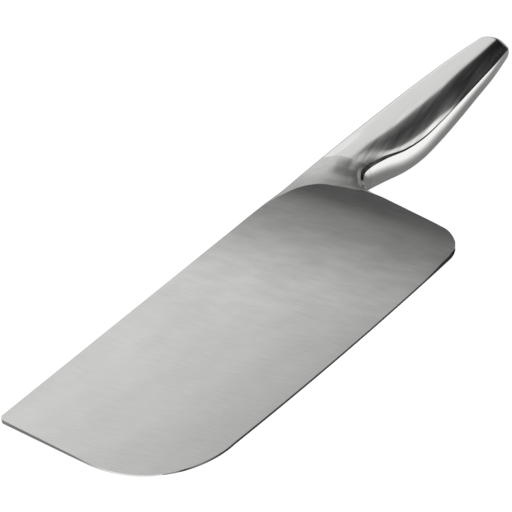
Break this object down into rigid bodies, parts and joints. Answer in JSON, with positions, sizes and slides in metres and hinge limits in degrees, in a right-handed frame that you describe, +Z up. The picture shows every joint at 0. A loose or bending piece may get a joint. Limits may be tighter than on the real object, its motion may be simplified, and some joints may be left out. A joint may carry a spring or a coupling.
{
  "type": "chinese cleaver",
  "caption": "All-steel Chinese cleaver lying on its side: wide rectangular blade, forged bolster with a finger notch, hollow faceted grip tapering to the butt.",
  "frame": {"origin": "on the table under the middle of the knife's box, lying on its right side", "axes": "+X along the knife towards the butt, +Y out of the spine, +Z up out of the left side"},
  "size_m": [0.3178, 0.0814, 0.0196],
  "materials": {
    "blade_steel": "satin, fine lines brushed across the blade, polished cutting bevel",
    "handle_steel": "fine satin, nearly polished",
    "weight_steel": "as cut"
  },
  "bodies": {
    "root": {"blade": "blade_steel", "handle_shell_left": "handle_steel", "handle_shell_right": "handle_steel", "balance_weight": "weight_steel"}
  },
  "joints": []
}
